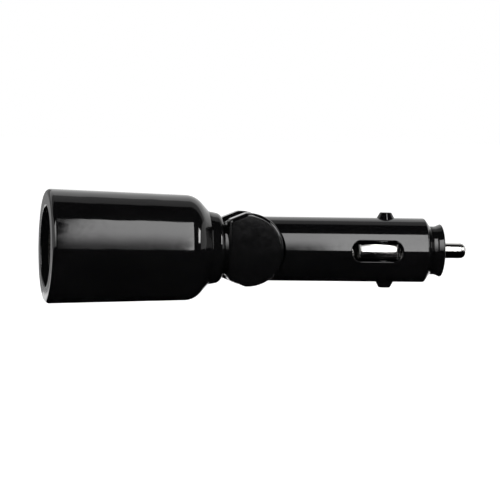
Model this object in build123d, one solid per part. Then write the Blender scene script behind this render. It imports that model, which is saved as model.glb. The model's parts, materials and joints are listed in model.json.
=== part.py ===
from build123d import *
from math import cos, radians, sin, sqrt, tan
import os

# Swivel adapter for a 12 V lighter socket: a round socket head on a plug that tilts behind it.
# Millimetres. +X runs along the axis from the socket's mouth to the plug's tip, and +Z is up.
# The origin is on the plug's axis, where the ears of the swivel end and the barrel begins.
# Left is +Y and right is -Y, seen along +X.

# Swivel: two ears on the head hold a tongue on the plug
EAR_RADIUS = 10.2
EAR_THICKNESS = 4.0
EAR_EDGE = 1.0
EAR_CORNER = 1.2
EAR_CREST_ANGLE = 94.0
TONGUE_THICKNESS = 9.2
SIDE_GAP = 0.3
SWEEP_GAP = 0.3
TILT_LIMIT = 45.0
PIVOT_RADIUS = 4.0
PIVOT_CLEARANCE = 0.05
BOSS_LENGTH = 2.3
BOSS_END_GAP = 0.15
STOP_CIRCLE = 6.2
STOP_PIN_RADIUS = 0.8
STOP_PIN_LENGTH = 1.3
STOP_CLEARANCE = 0.15
STOP_SPARE_ANGLE = 1.5
WASHER_WIDTH = 0.7
WASHER_SEAT_DEPTH = 0.6
WASHER_CLEARANCE = 0.05

# Yoke neck, its collar and the stem that goes into the head
NECK_BITE = 3.8
NECK_RADIUS = 8.25
WAIST_LENGTH = 0.8
COLLAR_LENGTH = 4.15
COLLAR_RADIUS = 10.3
COLLAR_TAPER = 0.8
COLLAR_EDGE = 0.35
COLLAR_ROUND = 2.0
STEM_RADIUS = 6.6
STEM_FLAT = 5.2
STEM_CLEARANCE = 0.05
RETAINER_RADIUS = 9.2
RETAINER_THICKNESS = 1.6
SCREW_OFFSET = 4.4
SCREW_RADIUS = 1.1
SCREW_HEAD_RADIUS = 1.9
SCREW_HEAD_HEIGHT = 1.2
SCREW_LENGTH = 3.5
SCREW_CLEARANCE = 0.05

# Socket head
HEAD_LENGTH = 44.95
MOUTH_RADIUS = 15.9
MOUTH_EDGE = 1.3
MOUTH_LIP = 0.4
SHOULDER_RADIUS = 14.55
SHOULDER_RUN = 3.5
SHOULDER_ROUND = 5.8
REAR_RADIUS = 10.75
REAR_WALL = 2.8
CHAMBER_DEPTH = 4.4
LINER_RADIUS = 10.65
LINER_WALL = 0.45
LINER_RECESS = 2.3
LINER_CLEARANCE = 0.05
BASE_THICKNESS = 2.6
BASE_SKIRT = 1.4
BASE_RIM = 2.4
TAG_THICKNESS = 0.5
TAG_WIDTH = 3.0
TAG_CLEARANCE = 0.1
CONTACT_DISC_RADIUS = 4.5
CONTACT_DISC_HEIGHT = 1.1
RIVET_RADIUS = 1.2
RIVET_HEAD_RADIUS = 2.2
RIVET_HEAD_HEIGHT = 0.8
RIVET_CLEARANCE = 0.05
POSITIVE_TAG_REACH = 6.0

# Plug barrel
BARREL_RADIUS = 8.95
BARREL_LENGTH = 42.2
BARREL_WALL = 1.8
BARREL_ROOT = 3.0
BARREL_FRONT_RADIUS = 6.8
BARREL_CHAMFER = 1.7
BARREL_EDGE = 0.5
FRONT_WALL = 3.6
SPIGOT_RADIUS = 5.6
SPIGOT_LENGTH = 2.5
NUB_SETBACK = 12.5
NUB_BASE = 4.9
NUB_TOP = 3.2
NUB_REACH = 10.5
NUB_EDGE = 0.45
NUB_SINK = 1.0
WINDOW_SETBACK = 16.3
WINDOW_LENGTH = 14.3
WINDOW_HEIGHT = 5.5
WINDOW_EDGE = 0.35

# Sprung ground contacts in the barrel's side windows
CONTACT_REACH = 10.25
CONTACT_WIDTH = 3.9
CONTACT_SHEET = 0.5
CONTACT_CROWN = 10.6
CONTACT_RAMP = 0.65
CONTACT_FOOT = 2.4
CONTACT_BEND = 0.9
CONTACT_CLEARANCE = 0.15
BRIDGE_THICKNESS = 0.6
BRIDGE_LENGTH = 2.4
PRONG_LENGTH = 2.2
PRONG_THICKNESS = 0.5

# Nose cap, tip and fuse
CAP_CLEARANCE = 0.1
CAP_GAP = 0.1
CAP_NECK_RADIUS = 6.75
CAP_NECK_LENGTH = 1.5
CAP_LIP_RADIUS = 7.45
CAP_FLARE_RUN = 1.6
CAP_LIP_EDGE = 0.3
CAP_FRONT_WALL = 1.2
CAP_DOME_RADIUS = 5.2
TIP_RADIUS = 2.15
TIP_CLEARANCE = 0.12
TIP_STAND_OUT = 6.8
TIP_END_ROUND = 1.7
TIP_FLANGE_RADIUS = 3.6
TIP_FLANGE = 1.4
TIP_TRAVEL = 2.5
TIP_GAP = 0.05
FLANGE_CLEARANCE = 0.3
FUSE_RADIUS = 2.6
FUSE_LENGTH = 20.0
FUSE_CLEARANCE = 0.15
FUSE_CAP_LENGTH = 5.0
FUSE_CAP_WALL = 0.15
FUSE_GLASS_WALL = 0.6
FUSE_WIRE_RADIUS = 0.15
SPRING_LENGTH = 10.0
SPRING_WIRE = 0.5
SPRING_TURNS = 7
SEAT_DEPTH = 1.6
SEAT_WALL = 0.4
GUIDE_WALL = 1.1
GUIDE_OVERLAP = 3.0
WEB_THICKNESS = 1.5

# Leads through the swivel
LEAD_RADIUS = 0.65
LEAD_SPACING = 1.5
LEAD_BEND = 2.0
LEAD_CLEARANCE = 0.15

# Places along X, from the origin back to the mouth
SLOT_RADIUS = BARREL_RADIUS + SWEEP_GAP
PIVOT_X = -(EAR_RADIUS + SWEEP_GAP)
EAR_ROOT_X = PIVOT_X - SLOT_RADIUS + NECK_BITE
COLLAR_FRONT_X = EAR_ROOT_X - WAIST_LENGTH
SEAM_X = COLLAR_FRONT_X - COLLAR_LENGTH
REAR_WALL_X = SEAM_X - REAR_WALL
BASE_REAR_X = REAR_WALL_X - CHAMBER_DEPTH
BASE_FRONT_X = BASE_REAR_X - BASE_THICKNESS
LINER_REAR_X = BASE_FRONT_X - BASE_RIM
MOUTH_X = SEAM_X - HEAD_LENGTH
LINER_FRONT_X = MOUTH_X + LINER_RECESS

# Places along X, from the nose back to the spring's seat
SPIGOT_END_X = BARREL_LENGTH + SPIGOT_LENGTH
CAP_INNER_X = SPIGOT_END_X + CAP_GAP
CAP_FRONT_X = CAP_INNER_X + CAP_FRONT_WALL
FLANGE_FRONT_X = CAP_INNER_X - TIP_GAP
FLANGE_REAR_X = FLANGE_FRONT_X - TIP_FLANGE
FUSE_FRONT_X = FLANGE_REAR_X - TIP_GAP
FUSE_REAR_X = FUSE_FRONT_X - FUSE_LENGTH
SPRING_FRONT_X = FUSE_REAR_X - TIP_GAP
SPRING_REAR_X = SPRING_FRONT_X - SPRING_LENGTH
SEAT_REAR_X = SPRING_REAR_X - SEAT_WALL
FLANGE_BORE_X = FLANGE_REAR_X - TIP_TRAVEL - FLANGE_CLEARANCE
NUB_X = BARREL_LENGTH - NUB_SETBACK
WINDOW_X = BARREL_LENGTH - WINDOW_SETBACK
CONTACT_HALF_LENGTH = CONTACT_CROWN / 2 + CONTACT_RAMP + CONTACT_FOOT
CONTACT_REAR_X = WINDOW_X - CONTACT_HALF_LENGTH
CONTACT_FRONT_X = WINDOW_X + CONTACT_HALF_LENGTH
BRIDGE_FRONT_X = CONTACT_REAR_X - CONTACT_CLEARANCE
BRIDGE_REAR_X = BRIDGE_FRONT_X - BRIDGE_LENGTH
WEB_FRONT_X = min(SEAT_REAR_X, BRIDGE_REAR_X - CONTACT_CLEARANCE)
WEB_REAR_X = WEB_FRONT_X - WEB_THICKNESS
LEAD_BACK_X = (BASE_REAR_X + TAG_THICKNESS + REAR_WALL_X - RETAINER_THICKNESS) / 2

# Distances from the middle plane and from the axis
TONGUE_HALF = TONGUE_THICKNESS / 2
EAR_INNER = TONGUE_HALF + SIDE_GAP
EAR_OUTER = EAR_INNER + EAR_THICKNESS
LEAD_Y = LEAD_SPACING / 2
DUCT_HALF = LEAD_Y + LEAD_RADIUS + LEAD_CLEARANCE
LEAD_WAY_RADIUS = DUCT_HALF * sqrt(2)
HOUSING_BORE = LINER_RADIUS + LINER_WALL + LINER_CLEARANCE
BASE_RADIUS = LINER_RADIUS + LINER_WALL
TAG_OUTER = sqrt(BASE_RADIUS ** 2 - (TAG_WIDTH / 2) ** 2)
TAG_INNER = TAG_OUTER - TAG_THICKNESS
CAVITY_RADIUS = BARREL_RADIUS - BARREL_WALL
FUSE_BORE = FUSE_RADIUS + FUSE_CLEARANCE
GUIDE_RADIUS = FUSE_BORE + GUIDE_WALL
BRIDGE_RADIUS = GUIDE_RADIUS + BRIDGE_THICKNESS
WASHER_BORE = PIVOT_RADIUS + WASHER_CLEARANCE
WASHER_RADIUS = WASHER_BORE + WASHER_WIDTH


def turned(*corners):
    """Solid turned about the X axis. A corner is (x, radius) or (x, radius, rounding)."""
    points = [corner[:2] for corner in corners]
    roundings = [corner[2] if len(corner) > 2 else 0 for corner in corners]
    return revolve(make_face(FilletPolyline(*points, radius=roundings, close=True)), Axis.X)


def tube(start, end, inner, outer):
    """Plain tube on the X axis."""
    return turned((start, inner), (end, inner), (end, outer), (start, outer))


def block(x, y, z):
    """Box between the low and high ends given for each axis."""
    middle = [(low + high) / 2 for low, high in (x, y, z)]
    size = [high - low for low, high in (x, y, z)]
    return Pos(*middle) * Box(*size)


def side_plate(outline, near, far):
    """Outline drawn about the pivot, as a plate on the right between two distances from the middle."""
    plane = Plane(origin=(PIVOT_X, -near, 0), x_dir=(1, 0, 0), z_dir=(0, -1, 0))
    return extrude(plane * outline, far - near)


def both_sides(solid):
    """A solid and its mirror image across the middle plane."""
    return solid + mirror(solid, about=Plane.XZ)


def halves(solid):
    """Left and right halves of a moulding that is parted on the middle plane."""
    left = split(solid, bisect_by=Plane.XZ, keep=Keep.BOTTOM)
    right = split(solid, bisect_by=Plane.XZ, keep=Keep.TOP)
    return left, right


def flatted_bar(start, end, radius, flat):
    """Round bar on the X axis with a flat above and below."""
    bar = turned((start, 0), (end, 0), (end, radius), (start, radius))
    return bar & block((start, end), (-radius, radius), (-flat, flat))


# Plug barrel

def stop_groove():
    """Arc groove in the tongue's cheek that the ear's stop pin runs in."""
    reach = TILT_LIMIT + STOP_SPARE_ANGLE
    path = CenterArc((0, 0), STOP_CIRCLE, 180 - reach, 2 * reach)
    width = 2 * (STOP_PIN_RADIUS + STOP_CLEARANCE)
    depth = STOP_PIN_LENGTH - SIDE_GAP + STOP_CLEARANCE
    return side_plate(SlotArc(path, width), TONGUE_HALF - depth, TONGUE_HALF)


def lead_fan():
    """Opening in the tongue's end that leaves the leads room at every tilt."""
    spread = DUCT_HALF + SLOT_RADIUS * tan(radians(TILT_LIMIT + STOP_SPARE_ANGLE))
    corners = (0, DUCT_HALF), (-SLOT_RADIUS, spread), (-SLOT_RADIUS, -spread), (0, -DUCT_HALF)
    fan = side_plate(make_face(Polyline(*corners, close=True)), 0, DUCT_HALF)
    return both_sides(fan)


def nub():
    """Round nub on top of the barrel that centres the plug in the car's socket."""
    height = NUB_REACH - BARREL_RADIUS + NUB_SINK
    flare = (NUB_BASE - NUB_TOP) / 2 / (NUB_REACH - BARREL_RADIUS)
    cone = Cone(NUB_TOP / 2 + flare * height, NUB_TOP / 2, height)
    cone = fillet(cone.faces().sort_by(Axis.Z)[-1].edges(), NUB_EDGE)
    return Pos(NUB_X, 0, NUB_REACH - height / 2) * cone


def window():
    """Oblong hole through the barrel's right wall."""
    plane = Plane(origin=(WINDOW_X, -BRIDGE_RADIUS, 0), x_dir=(1, 0, 0), z_dir=(0, -1, 0))
    outline = SlotOverall(WINDOW_LENGTH, WINDOW_HEIGHT)
    return extrude(plane * outline, BARREL_RADIUS)


def barrel_outside():
    """Barrel with its tongue, nubs and spigot, solid inside."""
    chamfer_x = BARREL_LENGTH - BARREL_CHAMFER
    body = turned(
        (PIVOT_X, 0),
        (PIVOT_X, BARREL_RADIUS),
        (chamfer_x, BARREL_RADIUS, BARREL_EDGE),
        (BARREL_LENGTH, BARREL_FRONT_RADIUS),
        (BARREL_LENGTH, SPIGOT_RADIUS),
        (SPIGOT_END_X, SPIGOT_RADIUS),
        (SPIGOT_END_X, 0),
    )
    body += Pos(PIVOT_X, 0, 0) * Sphere(BARREL_RADIUS)
    body -= both_sides(side_plate(Circle(EAR_RADIUS + SWEEP_GAP), TONGUE_HALF, 2 * BARREL_RADIUS))
    return body + nub() + mirror(nub(), about=Plane.XY)


def barrel_guide():
    """Tube inside the barrel for the fuse and its spring, on a web behind them."""
    end_x = FUSE_REAR_X + GUIDE_OVERLAP
    return turned(
        (WEB_REAR_X, 0),
        (WEB_REAR_X, CAVITY_RADIUS),
        (WEB_FRONT_X, CAVITY_RADIUS),
        (WEB_FRONT_X, GUIDE_RADIUS),
        (end_x, GUIDE_RADIUS),
        (end_x, 0),
    )


def barrel():
    """Whole barrel before it is parted into its two half shells."""
    cavity_end_x = BARREL_LENGTH - FRONT_WALL
    body = barrel_outside() - tube(BARREL_ROOT, cavity_end_x, 0, CAVITY_RADIUS)
    body += barrel_guide()
    body -= tube(SEAT_REAR_X, SPIGOT_END_X, 0, FUSE_BORE)
    body -= tube(FLANGE_BORE_X, SPIGOT_END_X, 0, TIP_FLANGE_RADIUS + FLANGE_CLEARANCE)
    body -= both_sides(window())
    rims = [
        edge for edge in body.edges()
        if abs(edge.center().Y) > CAVITY_RADIUS and abs(edge.center().X - WINDOW_X) < WINDOW_LENGTH
        and abs(edge.center().Z) <= WINDOW_HEIGHT / 2
    ]
    body = fillet(rims, WINDOW_EDGE)
    duct = block((PIVOT_X, SEAT_REAR_X), (-DUCT_HALF, DUCT_HALF), (-DUCT_HALF, DUCT_HALF))
    ground_way = block((WEB_REAR_X, WEB_FRONT_X), (-DUCT_HALF, 0), (-GUIDE_RADIUS - 2 * LEAD_RADIUS, 0))
    recess = Circle(PIVOT_RADIUS + PIVOT_CLEARANCE)
    recess_floor = EAR_INNER - BOSS_LENGTH - BOSS_END_GAP
    washer_seat = Circle(WASHER_RADIUS + WASHER_CLEARANCE)
    body -= duct + ground_way + lead_fan()
    body -= both_sides(side_plate(recess, recess_floor, TONGUE_HALF))
    body -= both_sides(side_plate(washer_seat, TONGUE_HALF - WASHER_SEAT_DEPTH, TONGUE_HALF))
    return body - both_sides(stop_groove())


def friction_washers():
    """The two washers round the pivot bosses, seated in the tongue's cheeks."""
    ring = Circle(WASHER_RADIUS) - Circle(WASHER_BORE)
    return both_sides(side_plate(ring, TONGUE_HALF - WASHER_SEAT_DEPTH, EAR_INNER - WASHER_CLEARANCE))


# Side contacts and the bridge between them

def cavity_reach(z):
    """How far to the side a piece inside the barrel can go at a height z."""
    return sqrt(CAVITY_RADIUS ** 2 - z ** 2) - CONTACT_CLEARANCE


def side_contact():
    """Bowed strip of the left window: a crown, two ramps and two feet behind the wall."""
    foot_y = cavity_reach(CONTACT_WIDTH / 2) - CONTACT_SHEET / 2
    crown_y = CONTACT_REACH - CONTACT_SHEET / 2
    half_crown = CONTACT_CROWN / 2
    half_ramp = half_crown + CONTACT_RAMP
    path = FilletPolyline(
        (CONTACT_REAR_X, foot_y),
        (WINDOW_X - half_ramp, foot_y),
        (WINDOW_X - half_crown, crown_y),
        (WINDOW_X + half_crown, crown_y),
        (WINDOW_X + half_ramp, foot_y),
        (CONTACT_FRONT_X, foot_y),
        radius=CONTACT_BEND,
    )
    strip = extrude(trace(path, CONTACT_SHEET), CONTACT_WIDTH / 2, both=True)
    return strip & tube(CONTACT_REAR_X, CONTACT_FRONT_X, 0, CONTACT_REACH)


def ground_bridge():
    """Ring on the fuse guide with a fork at each side, round the foot of the side contact."""
    ring = tube(BRIDGE_REAR_X, BRIDGE_FRONT_X, GUIDE_RADIUS + TIP_GAP, BRIDGE_RADIUS)
    inner_z = CONTACT_WIDTH / 2 + CONTACT_CLEARANCE
    outer_z = inner_z + PRONG_THICKNESS
    reach = cavity_reach(outer_z)
    for side in (-1, 1):
        z = sorted((side * inner_z, side * outer_z))
        arm = block((BRIDGE_REAR_X, BRIDGE_FRONT_X + PRONG_LENGTH), (GUIDE_RADIUS, reach), z)
        ring += both_sides(arm)
    return ring


# Nose cap, tip and fuse

def nose_cap():
    """Flared cap on the spigot, domed round the tip."""
    rear_x = BARREL_LENGTH + CAP_GAP
    flare_x = rear_x + CAP_NECK_LENGTH
    lip_x = flare_x + CAP_FLARE_RUN
    bore = SPIGOT_RADIUS + CAP_CLEARANCE
    hole = TIP_RADIUS + TIP_CLEARANCE
    return turned(
        (rear_x, bore),
        (rear_x, CAP_NECK_RADIUS, CAP_LIP_EDGE),
        (flare_x, CAP_NECK_RADIUS, CAP_FLARE_RUN),
        (lip_x, CAP_LIP_RADIUS, CAP_LIP_EDGE),
        (CAP_FRONT_X, CAP_DOME_RADIUS, CAP_FRONT_WALL),
        (CAP_FRONT_X, hole),
        (CAP_INNER_X, hole),
        (CAP_INNER_X, bore),
    )


def tip_contact():
    """Round-ended pin with the flange that the nose cap holds back."""
    end_x = CAP_FRONT_X + TIP_STAND_OUT
    return turned(
        (FLANGE_REAR_X, 0),
        (FLANGE_REAR_X, TIP_FLANGE_RADIUS),
        (FLANGE_FRONT_X, TIP_FLANGE_RADIUS),
        (FLANGE_FRONT_X, TIP_RADIUS),
        (end_x, TIP_RADIUS, TIP_END_ROUND),
        (end_x, 0),
    )


def fuse_glass():
    """Glass tube of the fuse."""
    outer = FUSE_RADIUS - FUSE_CAP_WALL
    inner = outer - FUSE_GLASS_WALL
    return tube(FUSE_REAR_X + FUSE_CAP_WALL, FUSE_FRONT_X - FUSE_CAP_WALL, inner, outer)


def fuse_end_caps():
    """The two metal caps on the ends of the glass."""
    inner = FUSE_RADIUS - FUSE_CAP_WALL
    caps = []
    for end_x, inward in ((FUSE_REAR_X, 1), (FUSE_FRONT_X, -1)):
        floor_x = end_x + inward * FUSE_CAP_WALL
        lip_x = end_x + inward * FUSE_CAP_LENGTH
        cup = turned(
            (end_x, 0),
            (floor_x, 0),
            (floor_x, inner),
            (lip_x, inner),
            (lip_x, FUSE_RADIUS),
            (end_x, FUSE_RADIUS),
        )
        caps.append(cup)
    return Compound(children=caps)


def fuse_wire():
    """Fuse wire between the caps."""
    return tube(FUSE_REAR_X + FUSE_CAP_WALL, FUSE_FRONT_X - FUSE_CAP_WALL, 0, FUSE_WIRE_RADIUS)


def tip_spring():
    """Coil spring between the fuse and its seat."""
    mean_radius = FUSE_BORE - FUSE_CLEARANCE - SEAT_WALL - SPRING_WIRE / 2
    rise = SPRING_LENGTH - SPRING_WIRE
    path = Helix(rise / SPRING_TURNS, rise, mean_radius, center=(SPRING_REAR_X + SPRING_WIRE / 2, 0, 0),
                 direction=(1, 0, 0))
    section = Plane(origin=path @ 0, z_dir=path % 0) * Circle(SPRING_WIRE / 2)
    return sweep(section, path=path, is_frenet=True)


def spring_seat():
    """Brass cup behind the spring."""
    outer = FUSE_BORE - FUSE_CLEARANCE
    rim_x = SEAT_REAR_X + SEAT_DEPTH
    return turned(
        (SEAT_REAR_X, 0),
        (SPRING_REAR_X, 0),
        (SPRING_REAR_X, outer - SEAT_WALL),
        (rim_x, outer - SEAT_WALL),
        (rim_x, outer),
        (SEAT_REAR_X, outer),
    )


# Leads

def lead(*points):
    """Insulated lead along straight runs with rounded bends."""
    path = FilletPolyline(*points, radius=LEAD_BEND)
    return sweep(Plane(origin=path @ 0, z_dir=path % 0) * Circle(LEAD_RADIUS), path=path)


def positive_lead():
    """Lead from the socket's positive tag to the spring's seat."""
    return lead(
        (LEAD_BACK_X, LEAD_Y, POSITIVE_TAG_REACH),
        (LEAD_BACK_X, LEAD_Y, 0),
        (SEAT_REAR_X, LEAD_Y, 0),
    )


def ground_lead():
    """Lead from the socket's ground tag down to the ring of the ground bridge."""
    drop_x = (BARREL_ROOT + BRIDGE_REAR_X) / 2
    low_z = -(GUIDE_RADIUS + LEAD_RADIUS)
    return lead(
        (LEAD_BACK_X, -LEAD_Y, TAG_CLEARANCE - TAG_INNER),
        (LEAD_BACK_X, -LEAD_Y, 0),
        (BARREL_ROOT, -LEAD_Y, 0),
        (drop_x, -LEAD_Y, low_z),
        (BRIDGE_REAR_X, -LEAD_Y, low_z),
    )


# Yoke

def stop_pin():
    """Pin inside the right ear that ends the tilt in the tongue's groove."""
    section = Pos(-STOP_CIRCLE, 0) * Circle(STOP_PIN_RADIUS)
    return side_plate(section, EAR_INNER - STOP_PIN_LENGTH, EAR_INNER)


def ear():
    """Right ear: a disc about the pivot with straight flanks down to the neck."""
    crest = radians(EAR_CREST_ANGLE)
    top = EAR_RADIUS * cos(crest), EAR_RADIUS * sin(crest)
    bottom = top[0], -top[1]
    root = EAR_ROOT_X - PIVOT_X
    flanks = Polyline(top, (root, NECK_RADIUS), (root, -NECK_RADIUS), bottom)
    outline = make_face(flanks + ThreePointArc(bottom, (EAR_RADIUS, 0), top))
    outline = fillet(outline.vertices(), EAR_CORNER)
    plate = side_plate(outline, EAR_INNER, EAR_OUTER)
    plate = fillet(plate.faces().sort_by(Axis.Y)[0].edges(), EAR_EDGE)
    plate += side_plate(Circle(PIVOT_RADIUS), EAR_INNER - BOSS_LENGTH, EAR_INNER)
    return plate + stop_pin()


def tongue_sweep():
    """Space between the ears that the tongue needs over its whole tilt, open back to the collar."""
    waist = PIVOT_X - COLLAR_FRONT_X
    length = 2 * EAR_RADIUS
    outline = Circle(SLOT_RADIUS) + Pos(-waist / 2, 0) * Rectangle(waist, 2 * SLOT_RADIUS)
    for tilt in (-TILT_LIMIT, 0, TILT_LIMIT):
        outline += Rot(0, 0, tilt) * (Pos(length / 2, 0) * Rectangle(length, 2 * SLOT_RADIUS))
    return both_sides(side_plate(outline, 0, EAR_INNER))


def yoke():
    """Whole yoke before it is parted into its two halves."""
    stem_end_x = REAR_WALL_X + STEM_CLEARANCE
    body = flatted_bar(stem_end_x, COLLAR_FRONT_X, STEM_RADIUS, STEM_FLAT)
    body += tube(COLLAR_FRONT_X, PIVOT_X, 0, NECK_RADIUS)
    body -= tongue_sweep()
    body += both_sides(ear())
    body -= tube(stem_end_x, COLLAR_FRONT_X, 0, LEAD_WAY_RADIUS)
    screw_hole = tube(stem_end_x, stem_end_x + SCREW_LENGTH, 0, SCREW_RADIUS + SCREW_CLEARANCE)
    return body - both_sides(Pos(0, -SCREW_OFFSET, 0) * screw_hole)


def neck_collar():
    """Ring that closes round the yoke's stem, against the housing."""
    return turned(
        (SEAM_X, STEM_RADIUS + STEM_CLEARANCE),
        (SEAM_X, COLLAR_RADIUS, COLLAR_EDGE),
        (COLLAR_FRONT_X, COLLAR_RADIUS - COLLAR_TAPER, COLLAR_ROUND),
        (COLLAR_FRONT_X, STEM_RADIUS + STEM_CLEARANCE),
    )


def yoke_retainer():
    """Plate inside the housing that the yoke's stem is screwed to."""
    front_x = REAR_WALL_X - RETAINER_THICKNESS
    plate = tube(front_x, REAR_WALL_X, LEAD_WAY_RADIUS, RETAINER_RADIUS)
    hole = tube(front_x, REAR_WALL_X, 0, SCREW_RADIUS + SCREW_CLEARANCE)
    return plate - both_sides(Pos(0, -SCREW_OFFSET, 0) * hole)


def retainer_screws():
    """The two screws through the retainer into the halves of the stem."""
    head_x = REAR_WALL_X - RETAINER_THICKNESS
    screw = turned(
        (head_x - SCREW_HEAD_HEIGHT, 0),
        (head_x - SCREW_HEAD_HEIGHT, SCREW_HEAD_RADIUS),
        (head_x, SCREW_HEAD_RADIUS),
        (head_x, SCREW_RADIUS),
        (REAR_WALL_X + SCREW_LENGTH, SCREW_RADIUS),
        (REAR_WALL_X + SCREW_LENGTH, 0),
    )
    return both_sides(Pos(0, -SCREW_OFFSET, 0) * screw)


# Socket head

def socket_housing():
    """Tapered round housing with a rounded mouth and shoulder."""
    body = turned(
        (MOUTH_X, HOUSING_BORE, MOUTH_LIP),
        (MOUTH_X, MOUTH_RADIUS, MOUTH_EDGE),
        (SEAM_X - SHOULDER_RUN, SHOULDER_RADIUS, SHOULDER_ROUND),
        (SEAM_X, REAR_RADIUS),
        (SEAM_X, 0),
        (REAR_WALL_X, 0),
        (REAR_WALL_X, HOUSING_BORE),
    )
    hole_radius = STEM_RADIUS + STEM_CLEARANCE
    return body - flatted_bar(REAR_WALL_X, SEAM_X, hole_radius, STEM_FLAT + STEM_CLEARANCE)


def socket_liner():
    """Metal tube that the plug of another device goes into."""
    return tube(LINER_FRONT_X, LINER_REAR_X, LINER_RADIUS, LINER_RADIUS + LINER_WALL)


def socket_base():
    """Insulating dish at the bottom of the socket, stood on the housing's rear wall."""
    body = turned(
        (BASE_FRONT_X, RIVET_RADIUS + RIVET_CLEARANCE),
        (BASE_FRONT_X, LINER_RADIUS - BASE_RIM),
        (LINER_REAR_X, LINER_RADIUS),
        (LINER_REAR_X, BASE_RADIUS),
        (REAR_WALL_X, BASE_RADIUS),
        (REAR_WALL_X, BASE_RADIUS - BASE_SKIRT),
        (BASE_REAR_X, BASE_RADIUS - BASE_SKIRT),
        (BASE_REAR_X, RIVET_RADIUS + RIVET_CLEARANCE),
    )
    half_width = TAG_WIDTH / 2 + TAG_CLEARANCE
    width = -half_width, half_width
    body -= block((LINER_REAR_X, BASE_REAR_X), width, (-BASE_RADIUS, TAG_CLEARANCE - TAG_INNER))
    return body - block((BASE_REAR_X, REAR_WALL_X), width, (-BASE_RADIUS, 0))


def ground_tag():
    """Flat solder tab behind the liner's rear edge, in the notch of the base."""
    x = LINER_REAR_X, REAR_WALL_X - TAG_CLEARANCE
    return block(x, (-TAG_WIDTH / 2, TAG_WIDTH / 2), (-TAG_OUTER, -TAG_INNER))


def centre_contact():
    """Dished metal disc that the other plug's tip presses on."""
    crown_x = BASE_FRONT_X - CONTACT_DISC_HEIGHT
    hole = RIVET_RADIUS + RIVET_CLEARANCE
    shoulder = RIVET_HEAD_RADIUS + RIVET_CLEARANCE
    sheet = TAG_THICKNESS
    return turned(
        (crown_x, hole),
        (crown_x, shoulder),
        (BASE_FRONT_X - sheet, CONTACT_DISC_RADIUS),
        (BASE_FRONT_X, CONTACT_DISC_RADIUS),
        (BASE_FRONT_X, CONTACT_DISC_RADIUS - sheet),
        (crown_x + sheet, shoulder),
        (crown_x + sheet, hole),
    )


def centre_rivet():
    """Rivet through the contact, the base and the positive tag."""
    head_x = BASE_FRONT_X - CONTACT_DISC_HEIGHT
    tail_x = BASE_REAR_X + TAG_THICKNESS
    return turned(
        (head_x - RIVET_HEAD_HEIGHT, 0),
        (head_x - RIVET_HEAD_HEIGHT, RIVET_HEAD_RADIUS, RIVET_HEAD_HEIGHT / 2),
        (head_x, RIVET_HEAD_RADIUS),
        (head_x, RIVET_RADIUS),
        (tail_x, RIVET_RADIUS),
        (tail_x, RIVET_HEAD_RADIUS),
        (tail_x + RIVET_HEAD_HEIGHT / 2, RIVET_HEAD_RADIUS),
        (tail_x + RIVET_HEAD_HEIGHT / 2, 0),
    )


def positive_tag():
    """Solder tag under the rivet's tail, behind the base."""
    half_width = RIVET_HEAD_RADIUS + TAG_CLEARANCE
    x = BASE_REAR_X, BASE_REAR_X + TAG_THICKNESS
    strip = block(x, (-half_width, half_width), (-half_width, POSITIVE_TAG_REACH))
    return strip - tube(*x, 0, RIVET_RADIUS + RIVET_CLEARANCE)


def all_parts():
    """Every node by name."""
    barrel_left, barrel_right = halves(barrel())
    yoke_left, yoke_right = halves(yoke())
    return {
        "barrel_left": barrel_left,
        "barrel_right": barrel_right,
        "friction_washers": friction_washers(),
        "side_contact_left": side_contact(),
        "side_contact_right": mirror(side_contact(), about=Plane.XZ),
        "ground_bridge": ground_bridge(),
        "nose_cap": nose_cap(),
        "tip_contact": tip_contact(),
        "fuse_glass": fuse_glass(),
        "fuse_end_caps": fuse_end_caps(),
        "fuse_wire": fuse_wire(),
        "tip_spring": tip_spring(),
        "spring_seat": spring_seat(),
        "positive_lead": positive_lead(),
        "ground_lead": ground_lead(),
        "yoke_left": yoke_left,
        "yoke_right": yoke_right,
        "neck_collar": neck_collar(),
        "yoke_retainer": yoke_retainer(),
        "retainer_screws": retainer_screws(),
        "socket_housing": socket_housing(),
        "socket_liner": socket_liner(),
        "socket_base": socket_base(),
        "ground_tag": ground_tag(),
        "centre_contact": centre_contact(),
        "centre_rivet": centre_rivet(),
        "positive_tag": positive_tag(),
    }


os.makedirs("parts", exist_ok=True)
for name, solid in all_parts().items():
    export_step(solid, f"parts/{name}.step")
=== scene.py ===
import json
from math import cos, radians, sin

import bpy
from mathutils import Matrix, Vector

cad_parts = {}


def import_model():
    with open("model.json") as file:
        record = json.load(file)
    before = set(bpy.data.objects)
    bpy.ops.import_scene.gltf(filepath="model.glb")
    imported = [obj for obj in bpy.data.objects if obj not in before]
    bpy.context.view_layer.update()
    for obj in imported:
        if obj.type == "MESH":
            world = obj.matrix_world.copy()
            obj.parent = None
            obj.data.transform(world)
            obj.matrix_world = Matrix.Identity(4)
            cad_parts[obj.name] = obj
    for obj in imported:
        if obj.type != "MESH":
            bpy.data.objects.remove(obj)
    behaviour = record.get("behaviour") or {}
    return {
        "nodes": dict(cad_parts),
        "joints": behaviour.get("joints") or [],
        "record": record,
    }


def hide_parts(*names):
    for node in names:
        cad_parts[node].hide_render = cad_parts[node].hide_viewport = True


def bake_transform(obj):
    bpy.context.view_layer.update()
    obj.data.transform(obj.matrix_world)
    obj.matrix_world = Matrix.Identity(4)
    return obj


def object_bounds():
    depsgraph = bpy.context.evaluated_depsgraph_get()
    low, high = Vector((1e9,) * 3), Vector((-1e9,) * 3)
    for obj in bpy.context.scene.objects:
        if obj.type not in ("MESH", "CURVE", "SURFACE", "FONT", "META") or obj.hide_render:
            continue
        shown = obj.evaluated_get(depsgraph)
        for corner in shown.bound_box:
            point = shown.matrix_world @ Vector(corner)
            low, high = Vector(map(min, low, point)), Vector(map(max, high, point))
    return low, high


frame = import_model()
cad_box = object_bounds()

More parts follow.
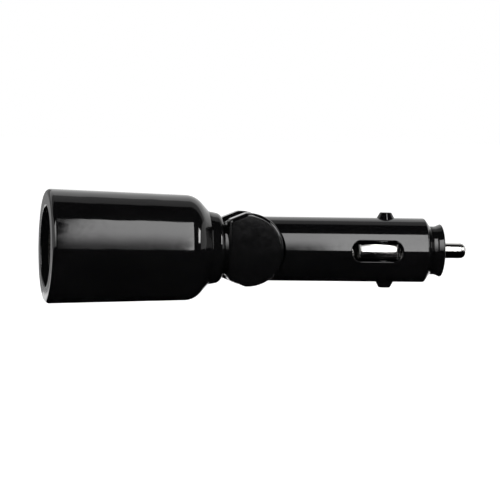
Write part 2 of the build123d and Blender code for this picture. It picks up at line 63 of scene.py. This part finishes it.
# Swivel adapter for a lighter socket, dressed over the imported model. Metres, in the model's frame:
# +X runs from the socket's mouth to the plug's tip, and +Z is up.
NODES = frame["nodes"]
SWIVEL = next(joint for joint in frame["joints"] if joint["name"] == "swivel")
PIVOT = Vector(SWIVEL["pos_m"])

# Camera, set by the photograph
CAMERA_YAW = radians(10.0)
CAMERA_ELEVATION = radians(2.9)
CAMERA_ROLL = radians(1.15)
CAMERA_DISTANCE = 1.2
CAMERA_REACH = 100.0
SENSOR_WIDTH = 36.0
FRAME_PIXELS = 500
PIVOT_PIXEL = 243.0, 248.3
FRAME_WIDTH = 0.1388

# Floor and room
FLOOR_DROP = 0.06
FLOOR_HALF_SIZE = 4.0
FLOOR_COLOUR = 0.9, 0.9, 0.9
FLOOR_ROUGHNESS = 0.9
FLOOR_GLOW = 0.75
ROOM_FILL = 0.35
ROOM_WHITE = 1.0

# Cards round the X axis. Elevations are degrees from the front, over the top, and edges lie along X.
TENT_RADIUS = 1.0
TENT_HALF_LENGTH = 1.5
TENT_ENDS = -TENT_HALF_LENGTH, TENT_HALF_LENGTH
TENT_STEPS = 48
STRIP_RADIUS = 0.98
UNDER_RADIUS = 0.073
LIGHT_ELEVATIONS = -1.75, 60.0
LIGHT_EDGES = 0.134, 0.207, 0.28
STRIP_ELEVATIONS = 17.0, 55.0
STRIP_EDGES = 0.85, 1.25
SIDE_ELEVATIONS = 2.0, 55.0
SIDE_EDGES = -1.2, -0.3
REAR_ELEVATIONS = 150.0, 210.0
REAR_EDGE = -0.05
OVER_DARK_END = 103.0
OVER_END = 126.0
UNDER_END = -153.0
FRONT_END = -4.2

# Light of each card, level with the part and at the top of its rise
HEAD_GLOW = 0.65, 5.2
SIDE_GLOW = 1.0, 5.0
PLUG_GLOW = 6.6, 6.0
STRIP_GLOW = 12.0, 12.0
REAR_GLOW = 0.35, 0.35
END_GLOW = 0.8, 0.8
NO_GLOW = 0.0, 0.0
GRADED_RISE = 0.64

# Surface detail
SMOOTH_ANGLE = radians(32)
WELD_DISTANCE = 1e-6
FACE_WEIGHT = 100

# Noise in the materials: its usual swing, and its features per metre
NOISE_SWING = 0.3, 0.7
FLOW_SCALE = 90.0
SHEEN_SCALE = 700.0
PEEL_SCALE = 450.0
DRAWING_SCALE = 1500.0
SCRATCH_SCALE = 2500.0
GLASS_LINE_SCALE = 900.0
PLASTIC_IOR = 1.49
GLASS_IOR = 1.5


# Node helpers

def new_material(name):
    """New material, its node tree and its Principled shader."""
    material = bpy.data.materials.new(name)
    material.use_nodes = True
    tree = material.node_tree
    return material, tree, tree.nodes["Principled BSDF"]


def add_node(tree, kind, inputs=None, **settings):
    """Node of a kind, with its settings and the values of its inputs."""
    node = tree.nodes.new(kind)
    for key, value in settings.items():
        setattr(node, key, value)
    for key, value in (inputs or {}).items():
        node.inputs[key].default_value = value
    return node


def noise(tree, scale, detail=3.0, stretch=(1, 1, 1)):
    """Noise in the model's own coordinates, its scale in features per metre."""
    place = add_node(tree, "ShaderNodeTexCoord")
    mapping = add_node(tree, "ShaderNodeMapping", {"Scale": stretch})
    field = add_node(tree, "ShaderNodeTexNoise", {"Scale": scale, "Detail": detail})
    tree.links.new(place.outputs["Object"], mapping.inputs["Vector"])
    tree.links.new(mapping.outputs["Vector"], field.inputs["Vector"])
    return field.outputs["Fac"]


def spread(tree, field, low, high):
    """The field's usual swing stretched from low to high."""
    least, most = NOISE_SWING
    ranged = add_node(
        tree, "ShaderNodeMapRange", {"From Min": least, "From Max": most, "To Min": low, "To Max": high}
    )
    tree.links.new(field, ranged.inputs["Value"])
    return ranged.outputs["Result"]


def tint(tree, field, dark, light):
    """Colour that runs from dark to light with the field."""
    ramp = add_node(tree, "ShaderNodeValToRGB")
    for stop, position, colour in zip(ramp.color_ramp.elements, NOISE_SWING, (dark, light)):
        stop.position = position
        stop.color = (*colour, 1)
    tree.links.new(field, ramp.inputs["Fac"])
    return ramp.outputs["Color"]


def grain(tree, shader, field, height):
    """Bump of a height in metres."""
    bump = add_node(tree, "ShaderNodeBump", {"Strength": 1.0, "Distance": height})
    tree.links.new(field, bump.inputs["Height"])
    tree.links.new(bump.outputs["Normal"], shader.inputs["Normal"])


# Materials

def moulded_plastic(name, dark, light, roughness, bump_height):
    """Moulded plastic: faint flow marks in its colour and gloss, and a slight orange peel."""
    material, tree, shader = new_material(name)
    flow = noise(tree, FLOW_SCALE, 4.0, (0.4, 1, 1))
    tree.links.new(tint(tree, flow, dark, light), shader.inputs["Base Color"])
    sheen = noise(tree, SHEEN_SCALE, 2.0)
    tree.links.new(spread(tree, sheen, *roughness), shader.inputs["Roughness"])
    grain(tree, shader, noise(tree, PEEL_SCALE, 1.0), bump_height)
    shader.inputs["IOR"].default_value = PLASTIC_IOR
    return material


def plated_metal(name, dark, light, roughness, bump_height, stretch=(1, 1, 1)):
    """Metal with drawing marks along one way in its colour, gloss and surface."""
    material, tree, shader = new_material(name)
    shader.inputs["Metallic"].default_value = 1.0
    marks = noise(tree, DRAWING_SCALE, 3.0, stretch)
    tree.links.new(tint(tree, marks, dark, light), shader.inputs["Base Color"])
    tree.links.new(spread(tree, marks, *roughness), shader.inputs["Roughness"])
    grain(tree, shader, noise(tree, SCRATCH_SCALE, 2.0, stretch), bump_height)
    return material


def clear_glass(name):
    """Glass of the fuse, with faint draw lines."""
    material, tree, shader = new_material(name)
    shader.inputs["Transmission Weight"].default_value = 1.0
    shader.inputs["IOR"].default_value = GLASS_IOR
    lines = noise(tree, GLASS_LINE_SCALE, 2.0, (0.05, 1, 1))
    tree.links.new(tint(tree, lines, (0.9, 0.94, 0.93), (0.97, 0.99, 0.98)), shader.inputs["Base Color"])
    tree.links.new(spread(tree, lines, 0.01, 0.04), shader.inputs["Roughness"])
    return material


def materials():
    """One material for each slot of the record."""
    return {
        "black_plastic": moulded_plastic(
            "gloss_black", (0.0018, 0.0018, 0.002), (0.0032, 0.0032, 0.0034), (0.05, 0.09), 1.2e-7
        ),
        "insulator": moulded_plastic(
            "insulator_black", (0.03, 0.03, 0.031), (0.05, 0.05, 0.052), (0.45, 0.6), 4e-6
        ),
        "white_nylon": moulded_plastic(
            "nylon", (0.7, 0.69, 0.64), (0.8, 0.79, 0.75), (0.35, 0.5), 3e-6
        ),
        "nickel": plated_metal(
            "nickel", (0.66, 0.65, 0.63), (0.78, 0.77, 0.75), (0.08, 0.18), 4e-7, (0.15, 1, 1)
        ),
        "brass": plated_metal(
            "brass", (0.62, 0.43, 0.17), (0.8, 0.6, 0.29), (0.2, 0.38), 1e-6
        ),
        "steel": plated_metal(
            "steel", (0.45, 0.45, 0.46), (0.62, 0.62, 0.63), (0.22, 0.4), 1e-6, (0.3, 1, 1)
        ),
        "fuse_glass": clear_glass("fuse_glass"),
        "red_insulation": moulded_plastic(
            "red_insulation", (0.42, 0.02, 0.015), (0.55, 0.04, 0.03), (0.35, 0.5), 3e-6
        ),
        "black_insulation": moulded_plastic(
            "black_insulation", (0.012, 0.012, 0.012), (0.024, 0.024, 0.024), (0.35, 0.5), 3e-6
        ),
    }


# Object

def smooth(piece):
    """Round faces shade smooth, and edges sharper than the smoothing angle stay crisp."""
    for polygon in piece.data.polygons:
        polygon.use_smooth = True
    weld = piece.modifiers.new("weld", "WELD")
    weld.merge_threshold = WELD_DISTANCE
    crease = piece.modifiers.new("crease", "EDGE_SPLIT")
    crease.split_angle = SMOOTH_ANGLE
    crease.use_edge_sharp = False
    level = piece.modifiers.new("level", "WEIGHTED_NORMAL")
    level.weight = FACE_WEIGHT


def dress(finish):
    """Every CAD node gets the material of its slot and smooth shading."""
    for row in frame["record"]["subparts"]:
        piece = NODES[row["node"]]
        piece.data.materials.clear()
        piece.data.materials.append(finish[row["material_slot"]])
        smooth(piece)


def flexing_copy(node):
    """Smooth-shaded copy of a flexible node, standing in for the node, which is hidden."""
    piece = bpy.data.objects.new(node + "_flex", NODES[node].data.copy())
    bpy.context.scene.collection.objects.link(piece)
    smooth(piece)
    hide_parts(node)
    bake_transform(piece)


def flexible_parts():
    """The leads, which bend at the swivel, and the tip's spring, which shortens ahead of its fixed rear
    end, are swapped for smooth-shaded copies.
    """
    for lead in ("positive_lead", "ground_lead"):
        flexing_copy(lead)
    flexing_copy("tip_spring")


# Studio

def direct_rays(tree):
    """1 for rays from the camera, a mirror or glass, and 0 for rays that a matt surface scatters."""
    path = add_node(tree, "ShaderNodeLightPath")
    seen = path.outputs["Is Camera Ray"]
    for kind in ("Is Glossy Ray", "Is Transmission Ray"):
        either = add_node(tree, "ShaderNodeMath", operation="MAXIMUM")
        tree.links.new(seen, either.inputs[0])
        tree.links.new(path.outputs[kind], either.inputs[1])
        seen = either.outputs[0]
    return seen


def background_material(name, glow, colour):
    """Matt surface that takes shadows, and that direct rays also see as a pale light."""
    material, tree, shader = new_material(name)
    shader.inputs["Base Color"].default_value = (*colour, 1)
    shader.inputs["Roughness"].default_value = FLOOR_ROUGHNESS
    shader.inputs["Specular IOR Level"].default_value = 0.0
    shader.inputs["Emission Color"].default_value = (1, 1, 1, 1)
    level = add_node(tree, "ShaderNodeMath", {1: glow}, operation="MULTIPLY")
    tree.links.new(direct_rays(tree), level.inputs[0])
    tree.links.new(level.outputs[0], shader.inputs["Emission Strength"])
    return material


def glow_material(name, glow, rise=TENT_RADIUS):
    """Light of a card that goes from its first glow, level with the part, to its second up the rise."""
    low, high = glow
    material = bpy.data.materials.new(name)
    material.use_nodes = True
    tree = material.node_tree
    tree.nodes.clear()
    light = add_node(tree, "ShaderNodeEmission")
    output = add_node(tree, "ShaderNodeOutputMaterial")
    place = add_node(tree, "ShaderNodeTexCoord")
    axes = add_node(tree, "ShaderNodeSeparateXYZ")
    level = add_node(
        tree, "ShaderNodeMapRange", {"From Max": rise, "To Min": low, "To Max": high},
        interpolation_type="SMOOTHSTEP",
    )
    tree.links.new(place.outputs["Object"], axes.inputs["Vector"])
    tree.links.new(axes.outputs["Z"], level.inputs["Value"])
    tree.links.new(level.outputs["Result"], light.inputs["Strength"])
    tree.links.new(light.outputs["Emission"], output.inputs["Surface"])
    return material


def sheet(name, rows, material):
    """Stage surface through rows of points."""
    width = len(rows[0])
    points = [point for row in rows for point in row]
    faces = []
    for i in range(len(rows) - 1):
        for j in range(width - 1):
            a = i * width + j
            faces.append((a, a + 1, a + width + 1, a + width))
    mesh = bpy.data.meshes.new(name)
    mesh.from_pydata(points, [], faces)
    mesh.materials.append(material)
    card = bpy.data.objects.new(name, mesh)
    bpy.context.scene.collection.objects.link(card)
    return card


def unseen(card):
    """Card that the camera doesn't see and that throws no shadow."""
    card.visible_camera = False
    card.visible_shadow = False
    return card


def tent_card(name, elevations, edges, material, radius=TENT_RADIUS):
    """Curved card round the X axis between two elevations, where 0 is the front and 180 the back."""
    low, high = elevations
    rows = []
    for i in range(TENT_STEPS + 1):
        angle = radians(low + (high - low) * i / TENT_STEPS)
        y, z = -radius * cos(angle), radius * sin(angle)
        rows.append([(x, y, z) for x in edges])
    return unseen(sheet(name, rows, material))


def softboxes():
    """Graded lights for the head and the left, an even one for the plug, a strip and three dim cards."""
    left, middle, right = LIGHT_EDGES
    head_light = glow_material("head_light", HEAD_GLOW, GRADED_RISE)
    plug_light = glow_material("plug_light", PLUG_GLOW)
    strip_light = glow_material("strip_light", STRIP_GLOW)
    side_light = glow_material("side_light", SIDE_GLOW, GRADED_RISE)
    rear_light = glow_material("rear_light", REAR_GLOW)
    end_light = glow_material("end_light", END_GLOW)
    tent_card("head_softbox", LIGHT_ELEVATIONS, (left, middle), head_light)
    tent_card("plug_softbox", LIGHT_ELEVATIONS, (middle, right), plug_light)
    tent_card("strip_softbox", STRIP_ELEVATIONS, STRIP_EDGES, strip_light, STRIP_RADIUS)
    tent_card("side_softbox", SIDE_ELEVATIONS, SIDE_EDGES, side_light, STRIP_RADIUS)
    tent_card("rear_card", REAR_ELEVATIONS, (TENT_ENDS[0], REAR_EDGE), rear_light)
    tent_card("over_card", (OVER_DARK_END, OVER_END), TENT_ENDS, rear_light)
    span = -TENT_RADIUS, TENT_RADIUS
    unseen(sheet("end_card", [[(TENT_ENDS[1], y, z) for y in span] for z in span], end_light))


def flags():
    """Black cards round the softboxes that only mirror reflections show."""
    black = glow_material("flag_black", NO_GLOW)
    low, high = LIGHT_ELEVATIONS
    cards = [
        tent_card("flag_over", (high, OVER_DARK_END), TENT_ENDS, black),
        tent_card("flag_front", (FRONT_END, low), TENT_ENDS, black),
        tent_card("flag_under", (UNDER_END, low), TENT_ENDS, black, UNDER_RADIUS),
        tent_card("flag_left", LIGHT_ELEVATIONS, (TENT_ENDS[0], LIGHT_EDGES[0]), black),
        tent_card("flag_right", LIGHT_ELEVATIONS, (LIGHT_EDGES[-1], TENT_ENDS[1]), black),
    ]
    for card in cards:
        card.visible_diffuse = False
        card.visible_transmission = False


def floor():
    """Plain pale floor under the part."""
    z = cad_box[0].z - FLOOR_DROP
    span = -FLOOR_HALF_SIZE, FLOOR_HALF_SIZE
    white = background_material("floor_white", FLOOR_GLOW, FLOOR_COLOUR)
    sheet("floor", [[(x, y, z) for x in span] for y in span], white)


def world():
    """White room for direct rays, and a dim fill for the rest."""
    room = bpy.data.worlds.new("room")
    room.use_nodes = True
    tree = room.node_tree
    ground = tree.nodes["Background"]
    ground.inputs["Color"].default_value = (1, 1, 1, 1)
    level = add_node(tree, "ShaderNodeMapRange", {"To Min": ROOM_FILL, "To Max": ROOM_WHITE})
    tree.links.new(direct_rays(tree), level.inputs["Value"])
    tree.links.new(level.outputs["Result"], ground.inputs["Strength"])
    bpy.context.scene.world = room


def camera():
    """Camera at the photograph's angle, with the pivot at its pixel."""
    eye = bpy.data.cameras.new("camera")
    eye.sensor_width = SENSOR_WIDTH
    eye.lens = SENSOR_WIDTH * CAMERA_DISTANCE / FRAME_WIDTH
    eye.clip_end = CAMERA_REACH
    eye.shift_x = 0.5 - PIVOT_PIXEL[0] / FRAME_PIXELS
    eye.shift_y = PIVOT_PIXEL[1] / FRAME_PIXELS - 0.5
    rig = bpy.data.objects.new("camera", eye)
    bpy.context.scene.collection.objects.link(rig)
    level = cos(CAMERA_ELEVATION)
    away = Vector((-sin(CAMERA_YAW) * level, -cos(CAMERA_YAW) * level, sin(CAMERA_ELEVATION)))
    turn = (-away).to_track_quat("-Z", "Y").to_matrix() @ Matrix.Rotation(CAMERA_ROLL, 3, "Z")
    rig.matrix_world = Matrix.Translation(PIVOT + away * CAMERA_DISTANCE) @ turn.to_4x4()
    bpy.context.scene.camera = rig


bpy.context.scene.view_settings.view_transform = "Standard"
dress(materials())
flexible_parts()
floor()
world()
softboxes()
flags()
camera()
